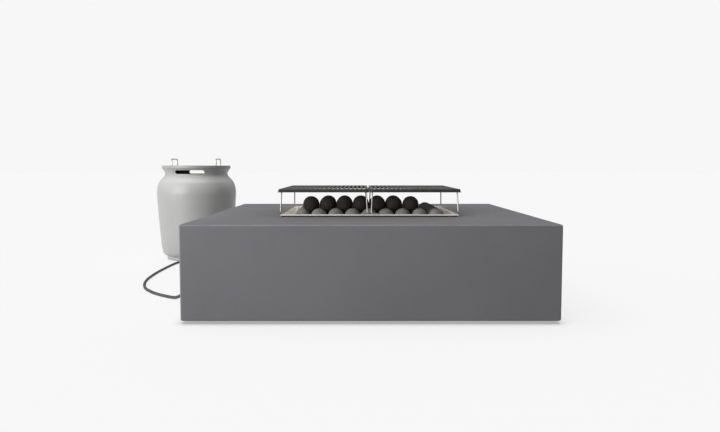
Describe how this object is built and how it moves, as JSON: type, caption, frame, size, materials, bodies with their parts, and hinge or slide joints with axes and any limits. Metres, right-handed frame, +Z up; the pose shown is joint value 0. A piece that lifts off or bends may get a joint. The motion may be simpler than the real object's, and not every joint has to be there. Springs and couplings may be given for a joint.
{
  "type": "gas fire pit with grates",
  "caption": "Low square concrete gas fire pit with ceramic balls under lift-off grates, fed by a hose from a gas bottle under a jar-shaped metal cover.",
  "frame": {"origin": "on the ground, at the middle of the box round the pit and the covered bottle, without the hose", "axes": "+Z up; +Y towards the back, where the bottle stands; +X to the right seen from the front; the pit's plain front faces -Y"},
  "size_m": [1.756, 1.8021, 0.5479],
  "materials": {
    "concrete": "cast glass-fibre concrete, smooth and matt, dark grey",
    "dark_steel": "black powder coat",
    "foot_rubber": "matt black rubber",
    "stainless": "fine brushed stainless steel",
    "brass": "machined brass",
    "black_plastic": "moulded black plastic",
    "electrode_ceramic": "white glazed ceramic",
    "ball_ceramic": "dark unglazed ceramic, satin",
    "grate_enamel": "matt black enamelled steel",
    "leg_wire": "polished stainless wire",
    "cover_paint": "satin light grey paint on spun metal",
    "handle_wire": "polished stainless wire",
    "bottle_paint": "grey gas bottle paint",
    "regulator_casting": "die-cast zinc, bead blasted",
    "hose_rubber": "satin black rubber gas hose"
  },
  "bodies": {
    "fire_pit": {"concrete_shell": "concrete", "base_frame": "dark_steel", "levelling_feet": "foot_rubber", "rim_gasket": "foot_rubber", "burner_pan": "stainless", "burner_plate": "stainless", "burner_tube": "stainless", "air_mixer": "brass", "heat_shield": "dark_steel", "shield_spacers": "stainless", "burner_pipe": "brass", "supply_pipe": "brass", "valve_body": "brass", "control_panel": "stainless", "panel_screws": "stainless", "igniter_module": "black_plastic", "spark_electrode": "electrode_ceramic", "thermocouple": "brass", "inlet_fitting": "brass", "inlet_nut": "brass", "fire_balls_lower": "ball_ceramic", "fire_balls_upper": "ball_ceramic", "bottle_body": "bottle_paint", "bottle_foot_ring": "bottle_paint", "bottle_collar": "bottle_paint", "bottle_valve": "brass", "regulator": "regulator_casting", "regulator_nut": "brass", "gas_hose": "hose_rubber", "hose_ferrules": "stainless"},
    "knob_slider": {"knob_sleeve": "brass"},
    "knob_turner": {"knob_spindle": "stainless", "control_knob": "black_plastic"},
    "igniter": {"igniter_button": "stainless"},
    "left_grate": {"grate_left_plate": "grate_enamel", "grate_left_outer_leg": "leg_wire", "grate_left_inner_leg": "leg_wire", "grate_left_clips": "grate_enamel"},
    "right_grate": {"grate_right_plate": "grate_enamel", "grate_right_outer_leg": "leg_wire", "grate_right_inner_leg": "leg_wire", "grate_right_clips": "grate_enamel"},
    "cover": {"cover_drum": "cover_paint", "cover_shoulder": "cover_paint", "cover_neck": "cover_paint", "cover_foot_ring": "cover_paint", "cover_rim": "cover_paint"},
    "lid": {"cover_lid": "cover_paint", "lid_handles": "handle_wire", "lid_handle_nuts": "handle_wire"},
    "valve_wheel": {"valve_handwheel": "black_plastic"}
  },
  "joints": [
    {"name": "grate_left_lift", "type": "slide", "parent": "fire_pit", "child": "left_grate", "axis": [0, 0, 1], "range_m": [0, 0.25]},
    {"name": "grate_right_lift", "type": "slide", "parent": "fire_pit", "child": "right_grate", "axis": [0, 0, 1], "range_m": [0, 0.25]},
    {"name": "cover_lift", "type": "slide", "parent": "fire_pit", "child": "cover", "axis": [0, 0, 1], "range_m": [0, 0.45]},
    {"name": "lid_lift", "type": "slide", "parent": "cover", "child": "lid", "axis": [0, 0, 1], "range_m": [0, 0.12]},
    {"name": "bottle_valve_turn", "type": "hinge", "parent": "fire_pit", "child": "valve_wheel", "pos_m": [-0.666, 0.689, 0.419], "axis": [0, 0, 1], "range_deg": [0, 540]},
    {"name": "knob_push", "type": "slide", "parent": "fire_pit", "child": "knob_slider", "axis": [1, 0, 0], "range_m": [0, 0.004], "stiffness_N_per_m": 1200, "springref_m": -0.002},
    {"name": "knob_turn", "type": "hinge", "parent": "knob_slider", "child": "knob_turner", "pos_m": [-0.356, -0.291, 0.16], "axis": [-1, 0, 0], "range_deg": [0, 180]},
    {"name": "igniter_press", "type": "slide", "parent": "fire_pit", "child": "igniter", "axis": [1, 0, 0], "range_m": [0, 0.005], "stiffness_N_per_m": 900, "springref_m": -0.002}
  ]
}
